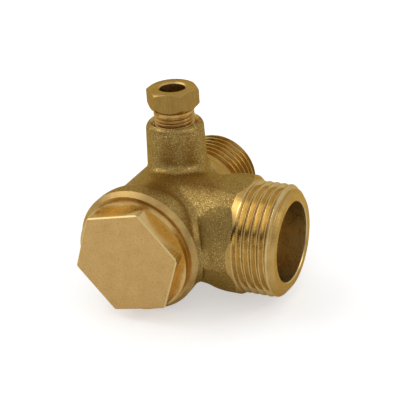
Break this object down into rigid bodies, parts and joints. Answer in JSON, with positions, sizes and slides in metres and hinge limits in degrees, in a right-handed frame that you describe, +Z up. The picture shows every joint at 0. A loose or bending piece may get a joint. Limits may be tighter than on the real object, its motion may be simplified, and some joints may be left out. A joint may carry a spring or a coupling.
{
  "type": "compressor check valve",
  "caption": "Forged brass tee check valve with a hex service cap, two male pipe threads and a top boss with a compression nut for a relief tube.",
  "frame": {"origin": "where the outlet axis crosses the main axis", "axes": "+X out of the outlet port, +Y out of the inlet port, +Z up along the relief boss"},
  "size_m": [0.0472, 0.0529, 0.0471],
  "materials": {
    "forged_brass": "blasted forging with turned ends",
    "turned_brass": "turned and milled",
    "nut_brass": "turned bar",
    "seal_rubber": "matt",
    "spring_steel": "drawn wire"
  },
  "bodies": {
    "root": {"body": "forged_brass", "return_spring": "spring_steel"},
    "check": {"check_piston": "turned_brass", "seal_disc": "seal_rubber"},
    "cap_ring": {"cap_o_ring": "seal_rubber"},
    "cap": {"hex_cap": "turned_brass"},
    "tube_olive": {"olive": "nut_brass"},
    "nut": {"compression_nut": "nut_brass"}
  },
  "joints": [
    {"name": "check_lift", "type": "slide", "parent": "root", "child": "check", "axis": [0, -1, 0], "range_m": [0, 0.0045], "stiffness_N_per_m": 300, "springref_m": -0.002, "deforming": ["return_spring"]},
    {"name": "cap_travel", "type": "slide", "parent": "root", "child": "cap_ring", "axis": [0, -1, 0], "range_m": [0, 0.0075]},
    {"name": "cap_turn", "type": "hinge", "parent": "cap_ring", "child": "cap", "pos_m": [0, -0.018, 0], "axis": [0, -1, 0], "range_deg": [0, 1800]},
    {"name": "nut_travel", "type": "slide", "parent": "root", "child": "tube_olive", "axis": [0, 0, 1], "range_m": [0, 0.0054]},
    {"name": "nut_turn", "type": "hinge", "parent": "tube_olive", "child": "nut", "pos_m": [0, 0.0074, 0.025], "axis": [0, 0, 1], "range_deg": [0, 2143.3]}
  ],
  "couplings": [
    {"joint": "cap_travel", "follows": "cap_turn", "m_per_rad": 0.00023873},
    {"joint": "nut_travel", "follows": "nut_turn", "m_per_rad": 0.00014435}
  ]
}
